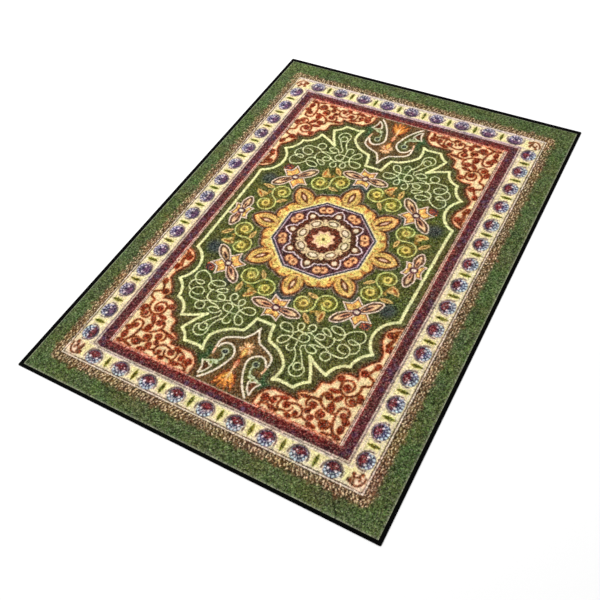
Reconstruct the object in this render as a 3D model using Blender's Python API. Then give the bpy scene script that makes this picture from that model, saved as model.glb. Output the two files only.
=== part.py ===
"""Entrance mat: a printed cut-pile carpet panel bonded to a flat moulded rubber backing.

The rubber is cut a little larger than the carpet, so it shows as a thin bare border all
round. The mat lies flat, its underside on z = 0, with its long side along Y and the origin
under its middle. Units are metres.
"""

import bmesh
import bpy

# The mat as it is sold
MAT_WIDTH = 0.850
MAT_LENGTH = 1.200

# Rubber backing
RUBBER_THICKNESS = 0.0018
RUBBER_CORNER = 0.0030  # radius in plan
RUBBER_RIM = 0.0007  # softened upper edge
RUBBER_RIM_STEPS = 2

# Carpet panel: yarn tufted through a thin base cloth, as one layer
BARE_BORDER = (0.0093, 0.0097)  # rubber left showing at the sides and at the ends, on average
PANEL_SHIFT = (0.0011, -0.0021)  # the panel is bonded a little off the middle
BOND_GAP = 0.0002  # between the carpet and the rubber
CARPET_HEIGHT = 0.0030
CARPET_CORNER = 0.0025
CARPET_RIM = 0.0026  # the outer tufts lean out and lie low, which rounds the upper edge
CARPET_RIM_STEPS = 4

CORNER_STEPS = 5

RUBBER_LOOK = {"color": (0.012, 0.012, 0.013, 1.0), "roughness": 0.62, "metallic": 0.0}
CARPET_LOOK = {"color": (0.085, 0.130, 0.035, 1.0), "roughness": 0.95, "metallic": 0.0}


def clear_scene():
    for obj in list(bpy.data.objects):
        bpy.data.objects.remove(obj)


def make_collection(name):
    collection = bpy.data.collections.new(name)
    bpy.context.scene.collection.children.link(collection)
    return collection


def make_material(name, look):
    material = bpy.data.materials.new(name)
    material.use_nodes = True
    shader = material.node_tree.nodes["Principled BSDF"]
    shader.inputs["Base Color"].default_value = look["color"]
    shader.inputs["Roughness"].default_value = look["roughness"]
    shader.inputs["Metallic"].default_value = look["metallic"]
    material.diffuse_color = look["color"]
    return material


def is_upright(edge):
    first, second = (vert.co for vert in edge.verts)
    return abs(first.z - second.z) > max(abs(first.x - second.x), abs(first.y - second.y))


def is_upper_rim(edge):
    return sorted(round(face.normal.z) for face in edge.link_faces) == [0, 1]


def make_slab(name, size, corner, rim, rim_steps):
    """A flat plate resting on its own z = 0, rounded in plan and along its upper edge."""
    width, length, height = size
    shape = bmesh.new()
    bmesh.ops.create_cube(shape, size=1.0)
    bmesh.ops.scale(shape, vec=(width, length, height), verts=shape.verts)
    bmesh.ops.translate(shape, vec=(0.0, 0.0, height / 2), verts=shape.verts)
    uprights = [edge for edge in shape.edges if is_upright(edge)]
    bmesh.ops.bevel(shape, geom=uprights, offset=corner, segments=CORNER_STEPS,
                    profile=0.5, affect="EDGES")
    shape.normal_update()
    upper = [edge for edge in shape.edges if is_upper_rim(edge)]
    bmesh.ops.bevel(shape, geom=upper, offset=rim, segments=rim_steps,
                    profile=0.5, affect="EDGES")
    bmesh.ops.recalc_face_normals(shape, faces=shape.faces)
    mesh = bpy.data.meshes.new(name)
    shape.to_mesh(mesh)
    shape.free()
    mesh.shade_smooth()
    mesh.set_sharp_from_angle(angle=0.6)
    return mesh


def add_object(name, mesh, material, collection, place):
    obj = bpy.data.objects.new(name, mesh)
    obj.location = place
    obj.data.materials.append(material)
    collection.objects.link(obj)
    return obj


def make_rubber_backing(collection):
    mesh = make_slab("rubber_backing", (MAT_WIDTH, MAT_LENGTH, RUBBER_THICKNESS),
                     RUBBER_CORNER, RUBBER_RIM, RUBBER_RIM_STEPS)
    material = make_material("black_rubber", RUBBER_LOOK)
    return add_object("rubber_backing", mesh, material, collection, (0.0, 0.0, 0.0))


def make_carpet_panel(collection):
    size = (MAT_WIDTH - 2 * BARE_BORDER[0], MAT_LENGTH - 2 * BARE_BORDER[1], CARPET_HEIGHT)
    mesh = make_slab("carpet_panel", size, CARPET_CORNER, CARPET_RIM, CARPET_RIM_STEPS)
    material = make_material("printed_pile", CARPET_LOOK)
    return add_object("carpet_panel", mesh, material, collection,
                      (*PANEL_SHIFT, RUBBER_THICKNESS + BOND_GAP))


def main():
    clear_scene()
    mat = make_collection("entrance_mat")
    make_rubber_backing(mat)
    make_carpet_panel(mat)


main()
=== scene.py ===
import math

import bpy
import numpy as np
from mathutils import Matrix, Vector


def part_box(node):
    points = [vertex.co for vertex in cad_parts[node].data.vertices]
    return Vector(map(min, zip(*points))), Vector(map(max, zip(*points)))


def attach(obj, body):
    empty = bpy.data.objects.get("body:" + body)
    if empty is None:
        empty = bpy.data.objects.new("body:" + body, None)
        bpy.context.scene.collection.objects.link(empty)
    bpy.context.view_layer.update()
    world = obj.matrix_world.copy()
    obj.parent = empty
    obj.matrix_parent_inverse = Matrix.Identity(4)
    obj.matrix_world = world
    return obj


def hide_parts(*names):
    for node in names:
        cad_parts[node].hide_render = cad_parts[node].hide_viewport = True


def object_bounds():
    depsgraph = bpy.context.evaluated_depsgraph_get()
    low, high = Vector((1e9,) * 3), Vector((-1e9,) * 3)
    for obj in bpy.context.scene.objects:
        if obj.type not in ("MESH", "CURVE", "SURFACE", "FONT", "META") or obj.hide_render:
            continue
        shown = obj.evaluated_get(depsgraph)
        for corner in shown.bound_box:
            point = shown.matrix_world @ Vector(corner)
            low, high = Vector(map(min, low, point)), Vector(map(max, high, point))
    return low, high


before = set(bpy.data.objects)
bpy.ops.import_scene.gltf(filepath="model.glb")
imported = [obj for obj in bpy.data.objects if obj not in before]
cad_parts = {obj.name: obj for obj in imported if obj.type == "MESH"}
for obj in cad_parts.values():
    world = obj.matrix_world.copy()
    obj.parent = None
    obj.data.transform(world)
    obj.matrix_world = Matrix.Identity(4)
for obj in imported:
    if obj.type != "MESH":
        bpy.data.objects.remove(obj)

# Entrance mat: cut pile with a printed medallion carpet design, bonded to black rubber.
# Blender sizes are in metres. The print is drawn in millimetres, in one quarter, and mirrored.

cadLow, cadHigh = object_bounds()
panelLow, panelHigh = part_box("carpet_panel")
panelWidth, panelLength = panelHigh.x - panelLow.x, panelHigh.y - panelLow.y
mm = 0.001
matMiddle = (cadLow + cadHigh) / 2
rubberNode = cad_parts["rubber_backing"]
print("Frame loaded, mat", [round(side, 4) for side in cadHigh - cadLow])


# Helpers for objects and materials


def addToScene(name, data):
    holder = bpy.data.objects.new(name, data)
    bpy.context.scene.collection.objects.link(holder)
    return holder


def feed(node, values):
    # Each input is set to a value, or linked to the output that drives it.
    for socket, value in values.items():
        if isinstance(value, bpy.types.NodeSocket):
            node.id_data.links.new(value, node.inputs[socket])
        else:
            node.inputs[socket].default_value = value


def newMaterial(name, values):
    material = bpy.data.materials.new(name)
    material.use_nodes = True
    surface = material.node_tree.nodes["Principled BSDF"]
    feed(surface, values)
    return material, surface


def addNode(material, kind, values, **fields):
    node = material.node_tree.nodes.new("ShaderNode" + kind)
    for name, value in fields.items():
        setattr(node, name, value)
    feed(node, values)
    return node


def objectPlace(material):
    return addNode(material, "TexCoord", {}).outputs["Object"]


def addRamp(material, source, low, high):
    ramp = addNode(material, "ValToRGB", {"Fac": source})
    for element, colour in zip(ramp.color_ramp.elements, (low, high)):
        element.color = (*colour, 1)
    return ramp.outputs["Color"]


def addBump(material, surface, height, strength, distance):
    bump = addNode(material, "Bump", {"Height": height, "Strength": strength, "Distance": distance})
    feed(surface, {"Normal": bump.outputs["Normal"]})


# Camera, floor and lights

camera = {
    "place": (0.6109, -1.0149, 1.2693),
    "aim": (0.0357, -0.1865, 0.0),
    "roll": -7.34,  # degrees
    "lens": 44.26,  # millimetres, as the sensor is
    "sensor": 36.0,
    "farthest": 100.0,
}

studio = {
    "floorSize": 16.0,
    "floorColour": (0.80, 0.80, 0.80),
    "floorRoughness": 0.9,
    "roomColour": (1.0, 1.0, 1.0),
    "roomStrength": 0.90,
    "keyPlace": (-1.1, 0.7, 2.4),
    "keySize": 1.1,
    "keyPower": 49.0,
}


def makeCamera(setup):
    lens = bpy.data.cameras.new("matCamera")
    lens.lens = setup["lens"]
    lens.sensor_width = setup["sensor"]
    lens.clip_end = setup["farthest"]
    holder = addToScene("matCamera", lens)
    place = Vector(setup["place"])
    turn = (Vector(setup["aim"]) - place).to_track_quat("-Z", "Y").to_matrix().to_4x4()
    roll = Matrix.Rotation(math.radians(setup["roll"]), 4, "Z")
    holder.matrix_world = Matrix.Translation(place) @ turn @ roll
    bpy.context.scene.camera = holder


def makeStudio(setup):
    scene = bpy.context.scene
    scene.view_settings.view_transform = "Standard"
    scene.world = bpy.data.worlds.new("paleRoom")
    scene.world.use_nodes = True
    room = {"Color": (*setup["roomColour"], 1.0), "Strength": setup["roomStrength"]}
    feed(scene.world.node_tree.nodes["Background"], room)

    half = setup["floorSize"] / 2
    floorMesh = bpy.data.meshes.new("studioFloor")
    corners = [(-half, -half, 0), (half, -half, 0), (half, half, 0), (-half, half, 0)]
    floorMesh.from_pydata(corners, [], [(0, 1, 2, 3)])
    paint = {"Base Color": (*setup["floorColour"], 1.0), "Roughness": setup["floorRoughness"]}
    floorMesh.materials.append(newMaterial("paleFloor", paint)[0])
    floor = addToScene("studioFloor", floorMesh)
    floor.location.z = cadLow.z

    softbox = bpy.data.lights.new("softbox", "AREA")
    softbox.shape = "DISK"
    softbox.size = setup["keySize"]
    softbox.energy = setup["keyPower"]
    lamp = addToScene("softbox", softbox)
    lamp.location = setup["keyPlace"]
    lamp.rotation_euler = (matMiddle - lamp.location).to_track_quat("-Z", "Y").to_euler()


makeCamera(camera)
makeStudio(studio)
print("Camera, floor and softbox in place")


# Drawing tools for the print

dyes = {  # as a printer mixes them, from 0 to 255
    "surround": (85, 99, 58),
    "fieldGreen": (84, 88, 40),
    "marginGreen": (82, 80, 40),
    "slate": (64, 70, 66),
    "deepGreen": (60, 84, 52),
    "cornerBrown": (120, 64, 34),
    "cornerBlush": (252, 222, 190),
    "trimming": (110, 84, 56),
    "trimmingFleck": (234, 208, 170),
    "trimmingDark": (72, 48, 28),
    "white": (246, 228, 206),
    "bandWhite": (222, 200, 182),
    "cream": (248, 234, 178),
    "tan": (104, 82, 66),
    "greyLine": (124, 106, 94),
    "maroon": (96, 46, 50),
    "maroonInner": (116, 44, 42),
    "rose": (250, 188, 146),
    "roseLine": (255, 226, 206),
    "peach": (255, 226, 178),
    "berry": (134, 48, 20),
    "hemRed": (146, 62, 58),
    "hemRose": (216, 132, 104),
    "vine": (128, 58, 22),
    "panelEdge": (100, 56, 32),
    "fieldLine": (246, 244, 186),
    "filigree": (240, 242, 192),
    "pendant": (108, 80, 46),
    "pendantGreen": (88, 84, 44),
    "pinkLine": (255, 238, 214),
    "eyeTeal": (44, 50, 44),
    "paleGreen": (206, 214, 176),
    "orange": (236, 178, 106),
    "orangeDeep": (178, 102, 50),
    "flameRed": (128, 62, 30),
    "flame": (220, 148, 74),
    "leafRed": (204, 106, 72),
    "gold": (252, 226, 142),
    "goldRim": (244, 204, 136),
    "goldPeach": (246, 210, 136),
    "goldShade": (230, 208, 120),
    "petalGold": (236, 198, 118),
    "petalBrown": (112, 56, 22),
    "petalCore": (246, 208, 176),
    "halo": (88, 62, 42),
    "haloLine": (250, 226, 206),
    "haloFaint": (150, 134, 120),
    "octagonLine": (248, 232, 200),
    "ink": (58, 56, 62),
    "plum": (80, 40, 48),
    "lilac": (255, 234, 232),
    "lilacLow": (240, 212, 218),
    "innerBrown": (88, 46, 28),
    "discRed": (108, 48, 30),
    "curlOrange": (252, 192, 142),
    "curlRed": (130, 66, 36),
    "pearl": (250, 232, 200),
    "star": (254, 226, 160),
    "starTip": (250, 208, 172),
    "olive": (100, 84, 26),
    "chain": (238, 214, 170),
    "chainRing": (112, 88, 62),
    "navy": (66, 58, 86),
    "heart": (98, 46, 58),
    "heartMiddle": (124, 52, 58),
    "arch": (122, 102, 88),
    "violet": (86, 62, 90),
    "violetMiddle": (112, 78, 104),
    "steelDark": (88, 82, 102),
    "paleViolet": (208, 200, 216),
    "blush": (244, 226, 214),
    "blushViolet": (196, 164, 176),
    "paleBlue": (222, 234, 236),
    "steel": (92, 94, 114),
    "leafBar": (92, 88, 22),
    "leafBarRim": (134, 130, 52),
    "scrollLine": (214, 216, 138),
    "scrollDark": (114, 108, 42),
    "discYellow": (222, 206, 116),
    "bud": (168, 132, 66),
    "budRim": (228, 196, 134),
    "budShade": (134, 92, 40),
    "leafPink": (226, 172, 134),
    "leafPeach": (252, 214, 168),
    "leafCore": (76, 42, 38),
    "leafBrown": (96, 66, 46),
}


canvas = {}  # the points to be dyed, sorted along the mat, so a stroke only visits its own rows
coolFrom = {"farEnd": 470, "leftSide": -420}  # how far up the mat the flowers turn cooler


def layCanvas(x, y):
    # All four quarters share one drawing. Hand tells them apart for the scrolls, which turn
    # the same way all round. The far end came out blurred, and the flowers there and along
    # the left side cooler.
    order = np.argsort(np.abs(y), kind="stable")
    x, y = x[order], y[order]
    canvas.update(order=order, x=np.abs(x), y=np.abs(y), hand=np.sign(x * y), far=y > 0)
    canvas["cool"] = (y > coolFrom["farEnd"]) | ((x < 0) & (y > coolFrom["leftSide"]))
    canvas["dye"] = np.ones((len(x), 3)) * dyes["surround"]
    openTo()


def openTo(spots=1.0):
    # Only these spots take the dye, until all are opened again.
    canvas["open"] = np.ones(len(canvas["x"])) * spots


def readCanvas():
    dye = np.empty_like(canvas["dye"])
    dye[canvas["order"]] = canvas["dye"]
    return dye


def arcTo(start, end, bulge):
    # From start up to, but not including, end, with a point every two millimetres. Bulge is
    # the arc's height over half its chord, above 0 where it swells to the left of its way.
    start, end = np.array(start, float), np.array(end, float)
    chord = end - start
    length = np.hypot(*chord)
    if abs(bulge) < 0.01:
        return start[None, :]
    sweep = 4 * math.atan(bulge)
    radius = length / (2 * math.sin(sweep / 2))
    left = np.array([-chord[1], chord[0]]) / length
    middle = (start + end) / 2 - left * radius * math.cos(sweep / 2)
    count = max(3, int(abs(radius * sweep) / 2))
    first = math.atan2(start[1] - middle[1], start[0] - middle[0])
    angles = first - sweep * np.arange(count) / count
    return middle + abs(radius) * np.column_stack([np.cos(angles), np.sin(angles)])


def arcPath(points, closed=False):
    # Each point is (x, y) or (x, y, bulge), where the bulge is that of the stretch after it.
    points = [tuple(p) + (0.0,) * (3 - len(p)) for p in points]
    ends = points[1:] + points[:1] if closed else points[1:]
    runs = [arcTo(a[:2], b[:2], a[2]) for a, b in zip(points, ends)]
    if not closed:
        runs.append(np.array([points[-1][:2]], float))
    return np.concatenate(runs)


def softPath(points, steps=6):
    # A smooth curve through given points.
    knots = np.array(points, float)
    knots = np.concatenate([2 * knots[:1] - knots[1:2], knots, 2 * knots[-1:] - knots[-2:-1]])
    t = np.arange(steps)[:, None] / steps
    runs = []
    for a, b, c, d in zip(knots, knots[1:], knots[2:], knots[3:]):
        bend = (2 * a - 5 * b + 4 * c - d) * t**2 + (3 * b - a - 3 * c + d) * t**3
        runs.append(b + 0.5 * ((c - a) * t + bend))
    return np.concatenate(runs + [knots[-2:-1]])


def podPath(start, end, bulge):
    # A closed shape that is pointed at both ends.
    return arcPath([(*start, bulge), (*end, bulge)], True)


def polar(radius, degrees):
    return (radius * math.cos(math.radians(degrees)), radius * math.sin(math.radians(degrees)))


def placed(path, at=(0, 0), turn=0.0):
    # Turns and moves a path or a single point.
    c, s = polar(1, turn)
    return np.array(path, float) @ np.array([[c, s], [-s, c]]) + np.array(at, float)


def ovalPath(middle, across, along, turn=0.0):
    angle = np.linspace(0, 2 * math.pi, 32, endpoint=False)
    ring = np.column_stack([across * np.cos(angle), along * np.sin(angle)])
    return placed(ring, middle, turn)


def nearPath(path, reach):
    # The points within reach of a path, how far each lies from it, and the share of the
    # path's length that has gone by at its nearest spot.
    x, y = canvas["x"], canvas["y"]
    low, high = np.searchsorted(y, [path[:, 1].min() - reach, path[:, 1].max() + reach])
    best = np.full(high - low, np.inf)
    share = np.zeros(high - low)
    steps = np.diff(path, axis=0)
    lengths = np.maximum(np.hypot(steps[:, 0], steps[:, 1]), 1e-6)
    gone = np.concatenate([[0.0], np.cumsum(lengths)]) / lengths.sum()
    for a, b, step, length, before, after in zip(path, path[1:], steps, lengths, gone, gone[1:]):
        first, last = np.searchsorted(y, [min(a[1], b[1]) - reach, max(a[1], b[1]) + reach])
        row = x[first:last]
        close = (row > min(a[0], b[0]) - reach) & (row < max(a[0], b[0]) + reach)
        spots = first + np.flatnonzero(close)
        dx, dy = x[spots] - a[0], y[spots] - a[1]
        along = np.clip((dx * step[0] + dy * step[1]) / length**2, 0, 1)
        away = np.hypot(dx - along * step[0], dy - along * step[1])
        nearer = away < best[spots - low]
        spots = spots[nearer]
        best[spots - low] = away[nearer]
        share[spots - low] = before + (after - before) * along[nearer]
    found = np.flatnonzero(best < reach)
    return low + found, best[found], share[found]


def insidePath(path):
    # Counts the edges to the right of each point: an odd count is inside.
    x, y = canvas["x"], canvas["y"]
    low, high = np.searchsorted(y, [path[:, 1].min(), path[:, 1].max()])
    odd = np.zeros(high - low, bool)
    for a, b in zip(path, np.roll(path, -1, axis=0)):
        if a[1] == b[1]:
            continue
        first, last = np.searchsorted(y, sorted((a[1], b[1])))
        crossing = a[0] + (y[first:last] - a[1]) * (b[0] - a[0]) / (b[1] - a[1])
        odd[first - low : last - low] ^= x[first:last] < crossing
    return low + np.flatnonzero(odd)


def dyeSpots(spots, cover, name):
    cover = (np.clip(cover, 0, 1) * canvas["open"][spots])[:, None]
    canvas["dye"][spots] += cover * (np.array(dyes[name], float) - canvas["dye"][spots])


def drawStroke(path, width, name, blur, pointed=False):
    path = np.array(path, float)
    spots, away, share = nearPath(path, width / 2 + blur)
    fullness = np.maximum(np.sin(math.pi * share), 0.0) ** 0.75 if pointed else 1.0
    dyeSpots(spots, 0.5 - (away - width / 2 * fullness) / blur, name)


def drawLeaf(path, width, name, blur):
    drawStroke(path, width, name, blur, pointed=True)  # narrows to a point at both ends


def drawShape(path, *coats, blur):
    # Coats are (dye, growth), the lowest first. A growth above 0 spreads past the path.
    reach = max(abs(growth) for _, growth in coats) + blur
    near, away, _ = nearPath(np.concatenate([path, path[:1]]), reach)
    inside = insidePath(path)
    edge = np.full(len(canvas["x"]), np.inf)
    edge[inside] = -reach
    edge[near] = np.where(np.isfinite(edge[near]), -away, away)
    spots = np.union1d(near, inside)
    for name, growth in coats:
        dyeSpots(spots, 0.5 - (edge[spots] - growth) / blur, name)


def drawDot(middle, *coats, blur):
    # Coats are (dye, radius), the largest first.
    x, y = canvas["x"], canvas["y"]
    reach = coats[0][1] + blur
    low, high = np.searchsorted(y, [middle[1] - reach, middle[1] + reach])
    spots = low + np.flatnonzero(np.abs(x[low:high] - middle[0]) < reach)
    away = np.hypot(x[spots] - middle[0], y[spots] - middle[1])
    for name, radius in coats:
        dyeSpots(spots, 0.5 - (away - radius) / blur, name)


def drawFrame(halfX, halfY, name, corner, blur):
    # A filled rectangle round the middle.
    overX = canvas["x"] - (halfX - corner)
    overY = canvas["y"] - (halfY - corner)
    outer = np.hypot(np.maximum(overX, 0), np.maximum(overY, 0))
    edge = outer + np.minimum(np.maximum(overX, overY), 0) - corner
    dyeSpots(slice(None), 0.5 - edge / blur, name)


# Borders: nested bands from the plain surround in to the field

bandPlan = [  # half sizes across and along the mat, dye, corner radius, softness
    (380, 550, "trimming", 18, 9),
    (361.2, 531.2, "trimmingDark", 2, 2),
    (359.6, 529.6, "white", 2, 1.4),
    (356.4, 526.4, "tan", 1, 1.6),
    (353.8, 523.6, "cream", 1, 2),
    (311.8, 487.8, "bandWhite", 0, 1.8),
    (309.6, 485.6, "greyLine", 0, 1.6),
    (307.4, 483.4, "bandWhite", 0, 1.6),
    (304, 480.2, "maroon", 0, 1.8),
    (286, 471, "maroonInner", 0, 9),
    (283.2, 460.5, "hemRed", 0, 4),
    (281.8, 458.6, "roseLine", 0, 1.8),
    (275, 456, "marginGreen", 0, 1.6),
]

flowerRows = {  # how far out each row lies, the step along it, and its flowers from the middle on
    "longSide": (333, 66.4, 8),
    "shortSide": (506.5, 71.5, 5),
}


def drawBands():
    for halfX, halfY, name, corner, blur in bandPlan:
        drawFrame(halfX, halfY, name, corner, blur)
    # Faint violet patches in the maroon band, and a blush along both edges of the cream one
    rng = np.random.default_rng(29)
    for k in range(36):
        spot = (rng.uniform(288, 303), rng.uniform(0, 470)) if k % 5 else (rng.uniform(0, 290), 474)
        drawDot(spot, ("violet", rng.uniform(1, 4)), blur=10)
    for inset in (349.5, 316.5):
        for path in ([(inset, -5), (inset, inset + 170)], [(-5, inset + 171.5), (inset, inset + 171.5)]):
            drawStroke(path, 2, "blush", blur=7)
    # The lines at the far end are blurred and pinker.
    openTo(canvas["far"])
    drawStroke([(-5, 527.5), (350, 527.5)], 6.5, "blush", blur=5)
    drawStroke([(-5, 485), (304, 485)], 5, "blushViolet", blur=7)
    openTo()


palmetteDyes = {  # heart, its middle, ruffle and beads
    "warm": ("heart", "heartMiddle", "steel", "paleBlue"),
    "cool": ("violet", "violetMiddle", "steelDark", "paleViolet"),
}


def drawPalmette(at, turn, rng, tone):
    # A fan with its dark heart towards the middle of the mat, over a ruffle of pale petals.
    heartDye, middleDye, ruffleDye, beadDye = palmetteDyes[tone]

    def local(path):
        return placed(path, at, turn)

    arch = local(arcPath([(-20.5, 8, -1.2), (20.5, 8)]))
    drawShape(arch, ("white", 3.5), blur=2.5)
    drawStroke(arch, 3.2, "arch", blur=2.4)
    drawShape(local(ovalPath((0, 8), 16.5, 11)), (ruffleDye, 0), blur=3)
    for angle in range(165, 0, -30):
        drawStroke(local([polar(3, angle), polar(14, angle)]), 3.4, "navy", blur=2)
    for angle in range(180, -1, -30):
        for reach, radius in ((15, 2.6), (9, 1.4)):
            bead = local(np.add(polar(reach, angle), (0, 1)))
            drawDot(bead, (beadDye, radius), blur=2.2)
    heart = arcPath([(-17, 0, -0.85), (17, 0, 0.1), (0, 6, 0.1)], True)
    drawShape(local(heart), ("navy", 0.8), (heartDye, -1.2), blur=2.4)
    drawShape(local(ovalPath((0, -5), 8.5, 6.5)), (middleDye, 0), blur=5)
    for side in (-8.5, 8.5):
        drawDot(local((side, 2.5)), ("lilac", 2.6), blur=2.2)
    for k in range(16):
        spot = local((rng.uniform(-15, 15), rng.uniform(-8, 17)))
        drawDot(spot, ("navy" if k % 2 else "lilac", rng.uniform(0.6, 1.5)), blur=2)


def drawLeafBar(at, turn):
    for half, width, name in ((15, 9, "leafBarRim"), (12, 5.5, "leafBar")):
        drawLeaf(placed([(0, -half), (0, half)], at, turn), width, name, 2.4)


def drawCornerFlower(at):
    drawDot(at, ("cornerBlush", 17), blur=12)
    outerCurl = [(-14, 6, 0.25), (3, 10.5, 0.25), (12.5, -9)]
    innerCurl = [(-7, 5, -0.15), (-7, -4, -0.2), (3, -6, -0.3), (3, -1)]
    for curl in (outerCurl, innerCurl):
        drawStroke(placed(arcPath(curl), at), 4.4, "cornerBrown", blur=3)
    for x, y, radius in ((-15, 4, 5), (-12, -10, 3.8), (-11, -4, 3.4), (4, -14, 4), (0, -9, 2.5)):
        drawDot(np.add(at, (x, y)), ("cornerBrown", radius), ("berry", radius - 3), blur=3)


trimmingRows = [  # half size across the mat, step and length of the flecks
    (363.5, 7, 6.5), (367.5, 8, 6.5), (372, 10, 6), (377, 13, 5.5),
]

trimmingStreaks = [  # offset, least and most width, dye, softness
    (2.5, 2, 3.6, "trimmingDark", 2.5),
    (0, 1.8, 3.2, "trimmingFleck", 1.4),
]


def drawTrimmingFlecks():
    # Pale and dark streaks along each side, never quite alike, fewer towards the rim.
    rng = np.random.default_rng(7)
    for k in range(90):
        along = rng.uniform(0, 550)
        for spot in ((381 + rng.uniform(-2, 4), along), (along, 551 + rng.uniform(-2, 4))):
            if spot[0] < 384 and spot[1] < 554:
                drawDot(spot, ("surround" if k % 3 else "trimming", rng.uniform(1, 3.5)), blur=9)
    openTo(canvas["cool"])
    for k in range(80):
        spot = (rng.uniform(372, 382), rng.uniform(0, 540))
        drawDot(spot, ("surround", rng.uniform(1.5, 4.5)), blur=7)
    openTo()
    for inset, step, length in trimmingRows:
        for k in range(95):
            along = 2 + k * step + rng.uniform(-3, 3)
            for spot, turn in (((inset, along), 90), ((along, inset + 170.5), 70)):
                if math.hypot(max(spot[0] - 362, 0), max(spot[1] - 532, 0)) > 17:
                    continue  # outside the rounded corner
                half = length * rng.uniform(0.5, 1.4) / 2
                middle = np.add(spot, rng.uniform(-1.8, 1.8, 2))
                for rise, least, most, name, blur in trimmingStreaks:
                    streak = [(-half, rise), (half, rise)]
                    streak = placed(streak, middle, turn + rng.uniform(-30, 30))
                    drawLeaf(streak, rng.uniform(least, most), name, blur)


def drawFlowerRows(plan):
    rng = np.random.default_rng(11)
    longAt, longStep, longCount = plan["longSide"]
    shortAt, shortStep, shortCount = plan["shortSide"]
    longRow = [((longAt, longStep * k), -90) for k in range(longCount)]
    shortRow = [((shortStep * k, shortAt), 0) for k in range(shortCount)]
    for at, turn in longRow + shortRow:
        for tone in palmetteDyes:
            openTo(canvas["cool"] == (tone == "cool"))
            drawPalmette(at, turn, rng, tone)
    openTo()
    for k in range(1, longCount):
        drawLeafBar((longAt + 2, longStep * (k - 0.5)), 90)
    for k in range(1, shortCount):
        drawLeafBar((shortStep * (k - 0.5), shortAt), 0)
    drawCornerFlower((338, 508))


# Corner panels: brick vines with round berries on a peach ground

panelOutline = [
    (79, 458), (79, 436, -0.26), (102, 408, -0.03), (157, 410), (158, 398), (150, 392), (160, 386, 0.06),
    (178, 378, 0.06), (181, 352, -0.08), (198, 347), (203, 336), (206, 320, -0.34), (244, 314, 0.1),
    (239, 290), (245, 277, -0.06), (264, 256, 0.16), (260, 226), (248, 206), (247, 186, -0.26),
    (262, 165), (279, 160), (279, 458),
]

panelVines = [  # width, then a chain of arcs as (x, y, bulge)
    (7, (89, 456, 0.05), (94, 434)),
    (5, (95, 444, -0.1), (113, 443)),
    (4.5, (103, 440, -0.4), (124, 416)),
    (4.5, (128, 456, -0.44), (139, 441, -0.28), (158, 448)),
    (4.5, (131, 444, -0.35), (128, 419)),
    (4, (147, 441, 0.3), (156, 428)),
    (5, (144, 422, -0.17), (166, 417, -0.43), (178, 438, -0.6), (163, 441)),
    (5, (180, 436, 0.2), (196, 440, -0.1), (204, 445)),
    (6, (184, 424), (188, 414)),
    (5, (178, 411, -0.65), (185, 389, -0.28), (204, 396, 0.2), (236, 404)),
    (6, (164, 392), (197, 386)),
    (5, (209, 407, 0.75), (213, 428, 0.1), (231, 424, -0.29), (251, 443)),
    (4.5, (219, 428, 1.2), (239, 433)),
    (6, (233, 451), (256, 446)),
    (5.5, (254, 446, -0.2), (240, 398, -1.1), (264, 396, -0.4), (257, 408)),
    (6, (263, 424), (265, 412)),
    (6, (221, 386), (221, 378)),
    (5.5, (199, 388, -0.6), (205, 366)),
    (4.5, (263, 358, -1.7), (243, 358)),
    (5.5, (219, 333, 0.5), (240, 358, 0.46), (258, 326, -0.2), (266, 320, 0.9), (264, 299), (256, 294)),
    (5, (235, 349, 1.7), (219, 331)),
    (5.5, (257, 294, -0.1), (264, 277)),
    (9, (262, 213, 0.2), (266, 173)),
    (7, (262, 212), (274, 214)),
    (6, (252, 181, -0.1), (266, 175), (272, 168)),
]

panelBerries = [  # middle, half sizes and turn
    (94, 430, 8.5, 9, 0), (113, 430, 6.5, 7, 0), (131, 415, 10, 5, -14), (119, 446, 11, 5.5, 12),
    (141, 427, 8, 7.5, -20), (155, 447, 8, 5, 10), (166, 436, 5.5, 5.5, 0), (197, 432, 7, 8, 0),
    (185, 420, 6.5, 6, 0), (189, 404, 8.5, 8.5, 0), (206, 447, 11, 5, 4), (165, 393, 11, 4, -4),
    (214, 416, 7.5, 7.5, 0), (228, 435, 8, 9, 0), (262, 447, 9.5, 5, 8), (254, 400, 6.5, 7, 0),
    (263, 430, 7, 10, 0), (265, 411, 8, 7, 0), (224, 394, 8, 11, -14), (209, 373, 9, 8, 20),
    (228, 370, 6, 11, 35), (213, 357, 12, 4.8, -8), (255, 364, 6.5, 7, 0), (267, 352, 7, 10.5, -18),
    (232, 340, 8.5, 8.5, 0), (211, 325, 8, 7.5, -20), (250, 294, 9, 8.5, 0), (267, 269, 6.5, 9, 12),
    (269, 221, 7, 8, 0), (257, 187, 8, 7, 0),
]


def drawCornerPanel():
    openTo((canvas["x"] < 275.6) & (canvas["y"] < 456))
    panel = arcPath(panelOutline, True)
    drawShape(panel, ("panelEdge", 8), blur=7)
    drawShape(panel, ("vine", 2.5), ("rose", 0), ("peach", -3), blur=2.5)
    vines = [(width, arcPath(points)) for width, *points in panelVines]
    berries = [ovalPath((x, y), across, along, turn) for x, y, across, along, turn in panelBerries]
    for width, path in vines:
        drawStroke(path, width + 3, "rose", blur=4)
    for path in berries:
        drawShape(path, ("rose", 2), blur=4)
    for width, path in vines:
        drawStroke(path, width, "vine", blur=2.5)
    for path in berries:
        drawShape(path, ("vine", 0.6), ("berry", -1.2), blur=2.5)

    # Rose streaks run across each end of the panel, and two fine brown lines up its side.
    rng = np.random.default_rng(19)
    openTo(canvas["x"] < 274)
    drawStroke([(84, 455), (278, 455)], 3.5, "hemRose", blur=5)
    for k in range(80):
        start = np.array([80 + k * 2.5, rng.uniform(452, 461)])
        streak = [start, start + (rng.uniform(2, 5), rng.uniform(-4, 4))]
        drawStroke(streak, 1.8, "vine" if k % 3 == 0 else "hemRose", blur=2)
    openTo()
    for across in (279, 275.4):
        drawStroke([(across, -5), (across, 458)], 1.7, "panelEdge", blur=1.6)


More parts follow.
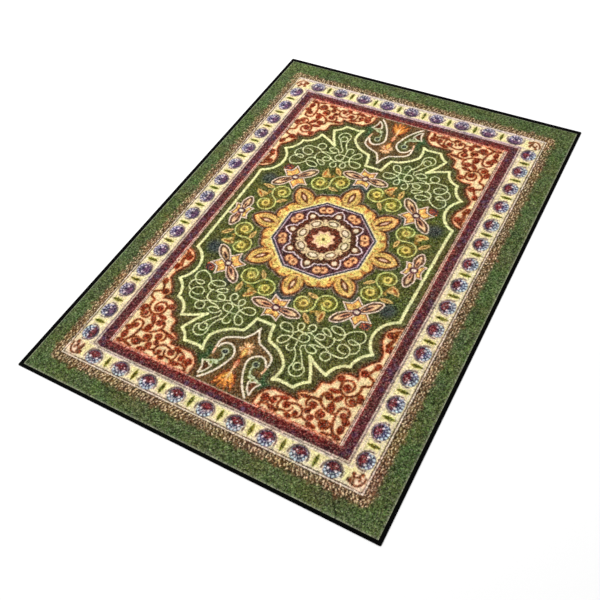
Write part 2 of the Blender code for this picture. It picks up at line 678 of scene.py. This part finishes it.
# Field: its pale outline, the pendant at each end and the filigree

fieldOutline = [
    (-20, 270), (22, 269, 0.08), (32, 309, -0.22), (91, 350, -0.14), (86, 389), (98, 384),
    (134, 386, -0.18), (158, 361, 0.05), (128, 305, 0.08), (180, 332, -0.34), (215, 292, -0.28),
    (244, 246, -0.58), (260, 147), (258.5, 120), (258.5, -20), (-20, -20),
]


def drawField():
    field = arcPath(fieldOutline, True)
    drawShape(field, ("pendantGreen", 12), blur=10)
    drawShape(field, ("fieldLine", 3.4), ("fieldGreen", -3.4), blur=1.8)
    for middle, radius in (((222, 128), 20), ((12, 190), 16), ((140, 205), 6), ((146, 136), 12)):
        drawDot(middle, ("slate", radius), blur=16)
    # A small red flower by the corner lily
    rng = np.random.default_rng(23)
    drawDot((197, 186), ("plum", 11), blur=7)
    for k in range(34):
        spot = (rng.uniform(187, 208), rng.uniform(178, 194))
        drawDot(spot, ("leafRed" if k % 3 else "ink", rng.uniform(1, 2)), blur=2)


pendantLine = [(0, 288, 0.14), (19, 325, -0.05), (50, 338, -0.3), (63, 358, -0.04), (60, 386)]
paisleyLine = [(58, 451, -0.15), (19, 386, -0.48), (38, 351, -0.35), (58, 368)]


def drawPendant():
    ogee, paisley = arcPath(pendantLine), arcPath(paisleyLine)
    ground = np.concatenate([ogee, [(62, 405), (70, 425), (76, 456), (-20, 456), (-20, 288)]])
    drawShape(ovalPath((76, 400), 13, 26, -14), ("deepGreen", 0), blur=14)
    drawShape(ground, ("pendant", 0), blur=10)
    drawShape(paisley, ("pendantGreen", 0), blur=4)
    drawShape(ovalPath((52, 391), 9, 8), ("pendant", 0), blur=6)
    drawShape(ovalPath((56, 422), 6, 10), ("panelEdge", 0), blur=5)
    for line in (ogee, paisley):
        drawStroke(line, 4.4, "pinkLine", blur=1.6)
    drawStroke(ogee[-8:], 3, "rose", blur=2.5)
    drawDot((38, 373), ("paleGreen", 8.4), ("eyeTeal", 5.8), blur=2)
    drawStroke(arcPath([(36, 381, 0.65), (51, 401)]), 3.8, "paleGreen", blur=2)
    drawLeaf(arcPath([(46, 400, 0.08), (74, 412)]), 5, "paleGreen", 2.5)
    drawDot((41, 404), ("paleGreen", 4), blur=3)
    drawDot((51, 409), ("paleGreen", 6), ("scrollDark", 3), blur=2)
    for start, end, width in (
        ((46, 415, 0.2), (61, 441), 3.8),
        ((71, 411, 0.25), (63, 441), 3.8),
        ((50, 417, -0.38), (60, 411), 2),
    ):
        drawStroke(arcPath([start, end]), width, "pinkLine", blur=2)
    drawPendantFlower()


def drawPendantFlower():
    # A small flower, a bud under it, and a flame of petals that fans out to the border.
    roots, tips = ((0, 346), (1, 344), (0, 346), (4, 350)), ((17, 351), (13, 335), (5, 330), (14, 358))
    for petal in zip(roots, tips):
        drawLeaf(petal, 8.5, "orangeDeep", 3)
        drawLeaf(petal, 5.6, "leafPeach", 3)
    bud = podPath((0, 346), (0, 371), 0.45)
    drawShape(bud, ("orangeDeep", 2), ("orange", 0), ("gold", -3.5), blur=3)
    drawLeaf([(0, 376), (0, 402)], 11, "leafRed", 3)
    drawLeaf([(2, 379), (2, 398)], 3.4, "leafPink", 2.5)
    for tip in ((10, 413), (20, 425), (25, 440), (25, 453), (9, 456)):
        drawLeaf(arcPath([(0, 408, 0.1), tip]), 13, "flameRed", 3)
    for tip in ((12, 421), (20, 433), (23, 448), (9, 452), (0, 456)):
        petal = arcPath([(0, 412, 0.1), tip])
        drawLeaf(petal, 7, "flame", 3)
        drawLeaf(petal[: len(petal) // 2], 2.4, "gold", 2.5)
    drawLeaf([(0, 390), (0, 436)], 4.6, "leafPeach", 3)


filigree = [  # each thread is a chain of arcs as (x, y, bulge)
    ((91, 303, -0.25), (103, 345, 1.05), (135, 347, 0.4), (126, 334, 0.05), (104, 302, -0.65),
     (107, 285, 0.7), (136, 291, 0.35), (112, 283, -0.25), (135, 276, 0.1), (153, 268, 0.3), (153, 242)),
    ((90, 304, -0.05), (86, 274, -1.1), (107, 268, -0.5), (94, 281), (66, 279)),
    ((73, 298, 1.2), (89, 304)),
    ((68, 268, -0.05), (69, 280, -0.2), (60, 300, -0.6), (45, 297, -0.5), (69, 280)),
    ((66, 268, 0.5), (38, 251, 0.6), (38, 268, 0.2), (70, 265), (77, 257, -0.38), (68, 241, -0.6),
     (81, 241, -0.3), (77, 257, 0.35), (104, 247, 0.65), (99, 230, 0.7), (95, 247)),
    ((145, 271, -0.12), (116, 261, -0.65), (128, 245, -0.95), (128, 259, -0.15), (101, 251)),
    ((146, 242, -0.22), (122, 236, -0.7), (128, 227, -0.2), (146, 242)),
    ((152, 243, 0.7), (170, 225, -0.35), (136, 222, -0.5), (142, 213, -0.35), (170, 225, -0.25),
     (202, 202, -0.6), (206, 234, -0.65), (200, 264)),
    ((206, 234, -0.4), (185, 239, -0.6), (188, 230, -0.1), (206, 234)),
    ((147, 272, 0.05), (161, 281, 1), (154, 302, 1), (161, 281, 0.05), (185, 282, 0.4), (199, 266, 0.4),
     (183, 248, 0.6), (170, 262, 0.35), (192, 268)),
    ((126, 336, -1.5), (109, 335, -0.45), (119, 330)),
]


def drawFiligree():
    for points in filigree:
        drawStroke(arcPath(points), 2.7, "filigree", blur=1.5)


# Flowers and scrolls round the medallion


def drawLily(at, turn, petalRise, leafReach):
    # Two pairs of pointed petals and two long leaves, all round a pale eye.
    def local(path, across=1, along=1):
        return placed(np.array(path) * (across, along), at, turn)

    leafBend = leafReach - 22
    leaf = arcPath([(8, -7, -0.08), (leafBend, -13, -0.14), (leafReach, -3), (leafReach, 3, -0.14),
                    (leafBend, 13, -0.08), (8, 7)], True)
    inner = podPath((14, 0), (leafReach - 7, 0), -0.32)
    core = podPath((10, 0), (leafBend, 0), -0.3)
    for side in (1, -1):
        drawShape(local(leaf, side), ("haloLine", 1.6), ("leafBrown", -1.5), blur=1.5)
        drawShape(local(inner, side), ("leafPeach", 0), blur=2.5)
        drawShape(local(core, side), ("leafPink", 1.5), ("leafCore", -1), blur=2)
    petals = arcPath([(19, 10, 0.04), (18, petalRise, 0.12), (0, petalRise * 0.72, 0.12),
                      (-18, petalRise, 0.04), (-19, 10), (-6, 6), (6, 6)], True)
    for side in (1, -1):
        petalCoats = ("haloLine", 1.6), ("leafBrown", -1.5), ("orange", -3.2)
        drawShape(local(petals, 1, side), *petalCoats, blur=1.5)
        for lean in (-1, 1):
            vein = local([(4 * lean, 9), (13 * lean, petalRise * 0.62)], 1, side)
            drawLeaf(vein, 5, "gold", 4)
    drawDot(at, ("plum", 10), blur=3)
    drawShape(ovalPath(at, 5.5, 4), ("white", 0.5), blur=2.5)


lilies = [((0, 225), 0, 32, 60), ((228, 0), 90, 25, 52), ((165, 160), 135, 38, 62)]

scroll = {
    "spread": 26,  # of each coil from the middle of the pair
    "reach": 22.5,
    "core": 10.8,
    "middle": 192,  # from the middle of the mat
}


def drawScrollPair(degrees, setup):
    # One line coils in at both ends. Leaf buds stand outside it, and one inside.
    spread, reach, core = setup["spread"], setup["reach"], setup["core"]
    angle = np.radians(np.arange(180, 901, 12))
    inwards = (angle - angle[0]) / (angle[-1] - angle[0])
    radius = np.interp(inwards, [0, 0.12, 0.35, 0.46, 1], [spread, reach + 1, reach - 3, core + 2, 3])
    coil = np.column_stack([spread + radius * np.cos(angle), radius * np.sin(angle)])
    outerCoil = coil[radius > core + 1.5]

    for hand in (1, -1):
        openTo(canvas["hand"] == hand)

        def local(path, hand=hand):
            path = np.array(path, float) * (-hand, 1)
            return placed(path, polar(setup["middle"], degrees), degrees - 90)

        for budArcs, fill in (
            ([(-23, 27, 0.32), (-11, 55, 0.32)], "budShade"),
            ([(21, 20, 0.42), (10, 51, 0.36)], "orangeDeep"),
            ([(3, 22, 0.35), (11, 38, 0.35)], "budShade"),
            ([(5, -15, 0.3), (-19, -29, 0.3)], "scrollDark"),
        ):
            bud = local(arcPath(budArcs, True))
            drawShape(bud, ("bud", 1.5), ("budRim", 0.5), ("bud", -2.5), (fill, -3.5), blur=2.5)
        drawShape(local([(-14, 18), (-8, 32), (3, 24), (13, 30), (18, 18)]), ("bud", -1), blur=5)
        for turn in (0, 180):
            middle = local(placed((spread, 0), turn=turn))
            drawDot(middle, ("scrollDark", reach - 1.5), ("discYellow", core), blur=3)
            innerRings = ("goldShade", core - 3), ("scrollDark", core - 6), ("bud", 2.5)
            drawDot(middle, *innerRings, blur=2.5)
            drawStroke(local(placed(outerCoil, turn=turn)), 3.8, "scrollLine", blur=1.6)
    openTo()


# Medallion: eight petals round a scalloped ring, an octagon and a star

medallion = {
    "stretch": (1.01, 0.985),
    "petalTip": 186,
    "petalHalf": 22,
    "octagon": 114,  # from the middle to the middle of a side
    "scallop": [(99, 0), (94, 5), (86, 9), (78, 11.5), (80, 18), (77, 22.5)],
    "dotRing": 81,
    "chainRing": 54,
    "starTip": 28,
    "starValley": 20,
}


def drawMedallion(plan):
    stretch = np.array(plan["stretch"])
    turns = (0, 45, 90)
    mirrored = [(turn, side) for turn in turns for side in (1, -1)]

    def spun(path, turn=0, side=1):
        return placed(np.array(path, float) * (1, side), turn=turn) * stretch

    def dot(middle, turn, side, *coats, blur=3):
        drawDot(spun(middle, turn, side), *coats, blur=blur)

    def octagonPath(size):
        return spun([polar(size / math.cos(math.pi / 8), 22.5 + 45 * k) for k in range(8)])

    # Petals and gold lobes, with their brown edge and a broken pale line outside it
    tip, half = plan["petalTip"], plan["petalHalf"]
    petal = softPath([(122, half * 0.5), (134, half * 0.84), (150, half), (165, half * 0.86),
                      (178, half * 0.5), (tip, 0)])
    petal = np.concatenate([petal, petal[-2::-1] * (1, -1)])
    lobes = [(polar(128, 16), 17.5, "gold"), (polar(127, 27), 18, "goldPeach")]
    for grow, name in ((8.6, "haloFaint"), (6.2, "halo"), (2.2, "petalBrown")):
        for turn in turns:
            drawShape(spun(petal, turn), (name, grow), blur=2.5)
        for turn, side in mirrored:
            for middle, radius, _ in lobes:
                dot(middle, turn, side, (name, radius + grow), blur=2.5)
    for turn, side in mirrored:
        for middle, radius, name in lobes:
            dot(middle, turn, side, ("orange", radius), (name, radius - 3))
    drawShape(octagonPath(126), ("gold", 0), blur=6)
    petalCoats = ("petalBrown", 1.5), ("orange", 0), ("goldRim", -2.5), ("petalGold", -7.5)
    eye = arcPath([(128, 0, 0.08), (148, 7.5, 0.18), (173, 0, 0.18), (148, -7.5, 0.08)], True)
    for turn in turns:
        drawShape(spun(petal, turn), *petalCoats, blur=3)
        for side in (-1, 1):
            for streak in ([(136, 13), (158, 17)], [(150, 19), (172, 11)], [(124, 8), (140, 19)]):
                drawLeaf(spun(streak, turn, side), 3, "bud", 3)
        drawShape(spun(eye, turn), ("petalBrown", 0.5), blur=3)
        drawShape(spun(podPath((141, 0), (163, 0), 0.24), turn), ("petalCore", 0.5), blur=2.5)
    for turn, side in mirrored:
        dot(polar(127, 8), turn, side, ("goldShade", 4), blur=5)
        dot(polar(133, 17), turn, side, ("goldShade", 7), blur=9)
        for start, end in (((136, 11), (142, 16)), ((122, 10), (131, 13)), ((128, 21.5), (146, 21.8))):
            drawLeaf(spun([polar(*start), polar(*end)], turn, side), 3.6, "orangeDeep", 4)

    # Octagon, with a pair of curls in each corner
    for inset, name in ((-2.2, "octagonLine"), (0, "ink"), (4.6, "lilacLow"), (7, "plum")):
        drawShape(octagonPath(plan["octagon"] - inset), (name, 0), blur=2.2)
    for turn in (22.5, 67.5):
        for lean in (-4.4, 4.4):
            curl = ("curlRed", 11.5), ("curlOrange", 9.6), ("curlRed", 3.2)
            dot(polar(96.5, lean), turn, 1, *curl, blur=3.2)

    # Scalloped lilac line, and the brown ground inside it
    scallop = [polar(*spot) for spot in plan["scallop"]]
    for turn, side in mirrored:
        drawShape(spun(scallop + [(0, 0)], turn, side), ("innerBrown", 0.5), blur=1)
    for turn, side in mirrored:
        drawStroke(spun(scallop, turn, side), 2.9, "lilac", blur=1.6)
    for turn in turns:
        dot((plan["dotRing"], 0), turn, 1, ("petalBrown", 8.2), ("pearl", 6.6))

    # Chain of ovals round a brown disc with a star
    link = ovalPath((plan["chainRing"], 0), 12.8, 17)
    for turn in turns:
        drawShape(spun(link, turn), ("chain", 0), blur=2.6)
    drawDot((0, 0), ("discRed", 41), blur=3)
    for turn in (22.5, 67.5):
        dot((plan["chainRing"] + 6, 0), turn, 1, ("chain", 5))
        dot((plan["chainRing"] - 4, 0), turn, 1, ("chain", 6.5))
    for turn in turns:
        drawShape(spun(link, turn), ("chain", -0.5), ("chainRing", -3.6), ("pearl", -7), blur=2.6)
    star = [polar(plan["starValley"] if k % 2 else plan["starTip"], 22.5 * k) for k in range(16)]
    drawShape(spun(star), ("starTip", 1.5), ("star", -4), blur=3)
    drawDot((0, 0), ("olive", 4.5), blur=2)


def drawPrint():
    drawBands()
    drawTrimmingFlecks()
    drawFlowerRows(flowerRows)
    drawPendant()
    drawCornerPanel()
    drawField()
    drawFiligree()
    for degrees in (22.5, 67.5):
        drawScrollPair(degrees, scroll)
    for lily in lilies:
        drawLily(*lily)
    drawMedallion(medallion)


# The pile: tufts on a triangular grid, each a raised tip in a ring of lower corners

pile = {
    "tuftGap": 2.75 * mm,
    "tipHeight": panelHigh.z,
    "baseHeight": panelLow.z,
    "hollow": 1.1 * mm,  # how far the gaps between tufts lie under the tips
    "tipScatter": 0.35 * mm,
    "cornerScatter": 0.45,  # as a share of the tips' scatter
    "heightScatter": 0.3 * mm,
    "sway": 0.25 * mm,  # depth of the slow dips in the pile
    "swayTurns": (61, 47, 53, 39),  # how fast they follow one another, in radians per metre
    "rimWidth": 6.0 * mm,
    "rimLine": 0.5 * mm,  # nothing strays nearer to the edge than this
    "strips": 6,
    "printShift": (-0.4, -4.7),  # millimetres, as are the bow and the shift of the row
    "printScale": 0.9975,
    "printScatter": 0.4,  # the tufts' tips lean, so no edge of the print is crisp
    "fieldBow": 4.0,
    "bowMiddle": 110,
    "bowReach": 500,
    "leftRowShift": 5.0,
    "dyeStrength": 1.13,  # how far the colours stand away from grey
    "darkScatter": 1.25,  # in stops
    "paleScatter": 0.17,
    "unevenness": (0.95, 0.85, 0.45),  # of the tufts, the yarn ends and the clumps
    "brightKnee": 0.6,  # pale ends above this are held back by half
    "clumpSize": 4.2 * mm,  # a few tufts that took the dye alike
    "clumpGrid": 300,  # clumps each way before they repeat
    "hueScatter": 0.12,
    "driftSize": 26.0 * mm,  # the dye's hue wanders slowly over the mat
    "drift": (0.22, 0.10, 0.28),  # in stops of red, green and blue
    "rawYarn": (224, 224, 194),
    "rawMiddle": -0.18,
    "rawScatter": 0.14,
    "rawFleck": 0.06,
    # the pale flecks are partly painted glints of fibre tips
    "paleFlecksAndGlints": 0.06,  # share of the yarn ends that stand out pale, and dark
    "darkFlecks": 0.10,
    "darkFleckDepth": 0.9,
    "rimPaleAndLit": 0.28,  # the outermost tufts are paler: partly less dye, partly painted light against the shade on the rim's slope
    "rimPaleWidth": 3.0 * mm,
    "seed": 41,
}


def linearLight(colour):
    share = np.clip(np.array(colour, float) / 255.0, 0, 1)
    return np.where(share <= 0.04045, share / 12.92, ((share + 0.055) / 1.055) ** 2.4)


def pilePoints(setup):
    columns = round(panelWidth / (setup["tuftGap"] / math.sqrt(3)))
    rows = round(panelLength / (setup["tuftGap"] / 2))
    rows += rows % 2
    step = panelWidth / columns
    x, y, row, kind, tuft = [], [], [], [], []
    for j in range(rows + 1):
        shifted = j % 2
        i = np.arange(columns + 1 + shifted)
        x.append(np.clip(panelLow.x + (i - 0.5 * shifted) * step, panelLow.x, panelHigh.x))
        y.append(np.full(len(i), panelLow.y + panelLength * j / rows))
        row.append(np.full(len(i), j))
        # Kind 0 is a tuft's tip. The corner to its right and the one above are its own too.
        kind.append((i - (j + shifted) // 2 - j) % 3)
        tuft.append(np.choose(kind[-1], [i, i - 1, i - shifted - (columns + 2)]) + j * (columns + 2))
    return [np.concatenate(part) for part in (x, y, row, kind, tuft)], columns, rows


def ramp(value, zero, one):
    return np.clip((value - zero) / (one - zero), 0, 1)


def printPlaces(x, y, setup):
    # The print lies a little off the middle. Its field is drawn towards the near end, and
    # the row of flowers on the left towards the far one.
    shiftX, shiftY = setup["printShift"]
    x, y = x / setup["printScale"] - shiftX, y / setup["printScale"] - shiftY
    fromMiddle = np.clip((y - setup["bowMiddle"]) / setup["bowReach"], -1, 1)
    bow = setup["fieldBow"] * ramp(np.abs(x), 300, 170) * np.cos(fromMiddle * math.pi / 2) ** 2
    inRow = ramp(x, -292, -302) * ramp(y, 500, 300) * ramp(y, -502, -488)
    return x, y + bow - setup["leftRowShift"] * inRow


def softNoise(rng, x, y, size):
    # Random values at the corners of a coarse grid, blended smoothly in between.
    u, v = (x - x.min()) / size, (y - y.min()) / size
    grid = rng.normal(0, 1, (int(u.max()) + 2, int(v.max()) + 2))
    i, j = u.astype(int), v.astype(int)
    u, v = u - i, v - j
    near = grid[i, j] * (1 - u) + grid[i + 1, j] * u
    far = grid[i, j + 1] * (1 - u) + grid[i + 1, j + 1] * u
    return near * (1 - v) + far * v


def raiseTufts(setup, rng, x, y, isTip, rimGap):
    # Tips stray sideways. The pile rounds down to the base cloth over the outermost tufts.
    scatter = np.where(isTip, 1.0, setup["cornerScatter"]) * setup["tipScatter"]
    scatter *= rimGap > setup["rimLine"]
    px = x + scatter * rng.uniform(-1, 1, len(x))
    py = y + scatter * rng.uniform(-1, 1, len(x))
    top = setup["tipHeight"] - setup["heightScatter"] * rng.uniform(0, 1, len(x))
    a, b, c, d = setup["swayTurns"]
    sway = np.sin(px * a + 1.3 * np.sin(py * b)) * np.sin(py * c + 1.1 * np.sin(px * d))
    top -= setup["sway"] * (1 + sway) / 2
    top -= np.where(isTip, 0.0, setup["hollow"] * rng.uniform(0.7, 1.1, len(x)))
    lift = np.sin(0.5 * math.pi * ramp(rimGap, 0, setup["rimWidth"]))
    return px, py, setup["baseHeight"] + (top - setup["baseHeight"]) * lift


def dyeTufts(setup, rng, x, y, px, py, tuft, rimGap):
    lean = setup["printScatter"] * rng.normal(0, 1, (2, len(x)))
    layCanvas(*printPlaces(px / mm + lean[0], py / mm + lean[1], setup))
    drawPrint()
    printed = readCanvas()
    grey = printed.mean(axis=1, keepdims=True)
    printed = np.clip(grey + setup["dyeStrength"] * (printed - grey), 0, 255)
    colour = linearLight(printed)

    # Dark yarn takes the dye less evenly than pale yarn.
    light = printed.mean(axis=1) / 255
    spread = setup["darkScatter"] * (1 - light) + setup["paleScatter"] * light
    tufts = tuft.max() + 1
    column = ((x - panelLow.x) / setup["clumpSize"]).astype(int)
    line = ((y - panelLow.y) / setup["clumpSize"]).astype(int)
    clumps = setup["clumpGrid"]
    clump = rng.normal(0, 1, (clumps, clumps))[column % clumps, line % clumps]
    byTuft, byEnd, byClump = setup["unevenness"]
    uneven = byTuft * rng.normal(0, 1, tufts)[tuft] + byEnd * rng.normal(0, 1, len(x)) + byClump * clump
    odd = rng.uniform(0, 1, len(x))
    uneven -= setup["darkFleckDepth"] * (odd > 1 - setup["darkFlecks"])
    knee = setup["brightKnee"]
    gain = spread * np.where(uneven < knee, uneven, knee + 0.5 * (uneven - knee))
    colour *= 2 ** (gain - 0.45 * spread**2)[:, None]
    colour *= 2 ** (setup["hueScatter"] * (1.2 - light)[:, None] * rng.normal(0, 1, (tufts, 3))[tuft])
    drift = [softNoise(rng, x, y, setup["driftSize"]) for _ in range(3)]
    colour *= 2 ** (np.column_stack(drift) * setup["drift"] * (1 - light)[:, None])

    # The odd tuft stays pale, partly as a painted glint of its fibre tips, and the rim is paler in
    # places.
    pale = np.clip(rng.normal(setup["rawMiddle"], setup["rawScatter"], len(x)), 0, 0.6)
    pale += setup["rawFleck"] * (1 - light) * np.maximum(uneven - knee, 0)
    pale += (1 - light) * np.where(odd < setup["paleFlecksAndGlints"], rng.uniform(0.1, 0.42, len(x)), 0)
    # Partly painted light: the rim is lightened to lift the shade on its slope, as well as for the
    # paler, less dyed edge.
    rim = rng.uniform(0, 2, len(x)) * np.clip(1.3 - rimGap / setup["rimPaleWidth"], 0, 1)
    pale = np.maximum(pale, setup["rimPaleAndLit"] * rim)
    return colour + pale[:, None] * (linearLight(setup["rawYarn"]) - colour)


def stripFaces(starts, firstRow, columns):
    # Every odd row of points is half a step over and one point longer.
    i, k = np.arange(columns), np.arange(columns + 1)
    faces = []
    for j, (a, b) in enumerate(zip(starts, starts[1:]), firstRow):
        if j % 2 == 0:
            faces += [(a + i, a + i + 1, b + i + 1), (a + k, b + k + 1, b + k)]
        else:
            faces += [(a + k, a + k + 1, b + k), (a + i + 1, b + i + 1, b + i)]
    return np.concatenate([np.column_stack(corners) for corners in faces])


def addStrip(name, places, faces, colour, values, uv):
    mesh = bpy.data.meshes.new(name)
    mesh.vertices.add(len(places))
    mesh.vertices.foreach_set("co", places.ravel())
    mesh.loops.add(faces.size)
    mesh.loops.foreach_set("vertex_index", faces.ravel())
    mesh.polygons.add(len(faces))
    mesh.polygons.foreach_set("loop_start", np.arange(len(faces)) * 3)
    mesh.update(calc_edges=True)
    mesh.shade_smooth()
    dye = mesh.attributes.new("printDye", "FLOAT_COLOR", "POINT")
    dye.data.foreach_set("color", np.column_stack([colour, np.ones(len(places))]).ravel())
    for attribute, numbers in values.items():
        mesh.attributes.new(attribute, "FLOAT", "POINT").data.foreach_set("value", numbers)
    mesh.uv_layers.new(name="OFBake").data.foreach_set("uv", uv[faces.ravel()].ravel())
    return addToScene(name, mesh)


def makePileStrips(setup):
    rng = np.random.default_rng(setup["seed"])
    (x, y, row, kind, tuft), columns, rows = pilePoints(setup)
    isTip = kind == 0
    tuft -= tuft.min()
    rimGap = np.minimum.reduce([x - panelLow.x, panelHigh.x - x, y - panelLow.y, panelHigh.y - y])
    px, py, pz = raiseTufts(setup, rng, x, y, isTip, rimGap)
    colour = dyeTufts(setup, rng, x, y, px, py, tuft, rimGap)
    shade = np.where(isTip, rng.normal(0, 1, len(x)), 0.45 * rng.normal(0, 1, len(x)))
    depth = (~isTip).astype(float)

    strips = []
    cuts = [rows * k // setup["strips"] for k in range(setup["strips"] + 1)]
    for number, (firstRow, lastRow) in enumerate(zip(cuts, cuts[1:]), 1):
        kept = np.flatnonzero((row >= firstRow) & (row <= lastRow))
        starts = np.searchsorted(row[kept], np.arange(firstRow, lastRow + 1))
        across, along = x[kept] - panelLow.x, y[kept] - y[kept].min()
        uv = np.column_stack([across / panelWidth, along / along.max()])
        faces = stripFaces(starts, firstRow, columns)
        values = {"tuftShade": shade[kept], "tuftDepth": depth[kept]}
        places = np.column_stack([px, py, pz])[kept]
        strips.append(addStrip(f"pileStrip_{number}", places, faces, colour[kept], values, uv))
    return strips


pileLook = {
    "shadeStrength": 0.25,
    # painted shade: how much darker the hollows between tufts are coloured
    "hollowPaintedShade": 0.40,
    "fibreScale": 2600.0,
    "fibreContrast": 0.9,
    "fibreBump": 0.35,
    "patchScale": 95.0,
    "patchContrast": 0.5,
    "roughness": 0.92,
    "specular": 0.05,
}


def makePileMaterial(setup):
    shine = {"Roughness": setup["roughness"], "Specular IOR Level": setup["specular"]}
    material, surface = newMaterial("printedPile", shine)

    def maths(operation, a, b):
        return addNode(material, "Math", {0: a, 1: b}, operation=operation).outputs[0]

    def attribute(name, output):
        return addNode(material, "Attribute", {}, attribute_name=name).outputs[output]

    def noise(scale, detail):
        feeds = {"Vector": objectPlace(material), "Scale": scale, "Detail": detail}
        return addNode(material, "TexNoise", feeds).outputs["Fac"]

    fibre = noise(setup["fibreScale"], 2.0)
    patch = noise(setup["patchScale"], 3.0)
    jitter = maths("MULTIPLY", attribute("tuftShade", "Fac"), setup["shadeStrength"])
    for source, contrast in ((fibre, setup["fibreContrast"]), (patch, setup["patchContrast"])):
        jitter = maths("ADD", jitter, maths("MULTIPLY", maths("SUBTRACT", source, 0.5), contrast))
    # Painted shade, with less print on the deeper fibres as well: the corners between the tufts' tips
    # are coloured darker, on top of the shade their real hollows get.
    hollow = maths("MULTIPLY", attribute("tuftDepth", "Fac"), setup["hollowPaintedShade"])
    gain = maths("MULTIPLY", maths("POWER", 2.0, jitter), maths("SUBTRACT", 1.0, hollow))
    dye = {0: attribute("printDye", "Color"), "Scale": gain}
    tint = addNode(material, "VectorMath", dye, operation="SCALE")
    feed(surface, {"Base Color": tint.outputs[0]})
    addBump(material, surface, fibre, setup["fibreBump"], 0.4 * mm)
    return material


strips = makePileStrips(pile)
pileMaterial = makePileMaterial(pileLook)
for strip in strips:
    strip.data.materials.append(pileMaterial)
    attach(strip, "root")
print("Pile tufted:", sum(len(strip.data.polygons) for strip in strips), "triangles")


# Base cloth under the pile

cloth = {
    "thickness": 0.4 * mm,
    "inset": 0.9 * mm,
    "roughness": 0.9,
    "weaveScale": 900.0,
    "low": (0.30, 0.29, 0.26),
    "high": (0.52, 0.51, 0.47),
}


def makeBaseCloth(setup):
    inset = setup["inset"]
    left, right = panelLow.x + inset, panelHigh.x - inset
    near, far = panelLow.y + inset, panelHigh.y - inset
    ring = [(left, near), (right, near), (right, far), (left, far)]
    heights = (panelLow.z, panelLow.z + setup["thickness"])
    sides = [(0, 1, 5, 4), (1, 2, 6, 5), (2, 3, 7, 6), (3, 0, 4, 7)]
    mesh = bpy.data.meshes.new("baseCloth")
    points = [(px, py, pz) for pz in heights for px, py in ring]
    mesh.from_pydata(points, [], [(3, 2, 1, 0), (4, 5, 6, 7)] + sides)
    layer = mesh.uv_layers.new(name="OFBake")
    for loop in mesh.loops:
        share = mesh.vertices[loop.vertex_index].co - panelLow
        layer.data[loop.index].uv = (share.x / panelWidth, share.y / panelLength)
    material, surface = newMaterial("baseClothWeave", {"Roughness": setup["roughness"]})
    feeds = {"Vector": objectPlace(material), "Scale": setup["weaveScale"]}
    weave = addNode(material, "TexNoise", feeds).outputs["Fac"]
    feed(surface, {"Base Color": addRamp(material, weave, setup["low"], setup["high"])})
    mesh.materials.append(material)
    return addToScene("baseCloth", mesh)


baseCloth = makeBaseCloth(cloth)
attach(baseCloth, "root")
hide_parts("carpet_panel")
print("Base cloth laid")


# Rubber

rubber = {
    "colour": (0.0014, 0.0015, 0.0014),
    "underColour": (0.018, 0.018, 0.019),
    "underHeight": 0.3 * mm,  # below this the rubber is dull and pebbled
    "pebbleScale": 260.0,
    "grainScale": 1400.0,
    "grainBump": 0.3,
    "roughness": 0.85,
    "specular": 0.02,
}


def makeRubberMaterial(setup):
    shine = {"Roughness": setup["roughness"], "Specular IOR Level": setup["specular"]}
    material, surface = newMaterial("blackRubber", shine)
    place = objectPlace(material)
    grain = addNode(material, "TexNoise", {"Vector": place, "Scale": setup["grainScale"]}).outputs["Fac"]
    pebbles = addNode(material, "TexVoronoi", {"Vector": place, "Scale": setup["pebbleScale"]})

    def mottled(source, colour):
        return addRamp(material, source, [1.5 * c for c in colour], [0.6 * c for c in colour])

    upper = mottled(grain, setup["colour"])
    under = mottled(pebbles.outputs["Distance"], setup["underColour"])
    height = addNode(material, "SeparateXYZ", {0: place}).outputs["Z"]
    above = addNode(material, "Math", {0: height, 1: setup["underHeight"]}, operation="GREATER_THAN")
    mixed = {"Factor": above.outputs[0], "A": under, "B": upper}
    colour = addNode(material, "Mix", mixed, data_type="RGBA")
    feed(surface, {"Base Color": colour.outputs["Result"]})
    addBump(material, surface, grain, setup["grainBump"], 0.2 * mm)
    return material


rubberNode.data.materials.clear()
rubberNode.data.materials.append(makeRubberMaterial(rubber))
print("Rubber finished")
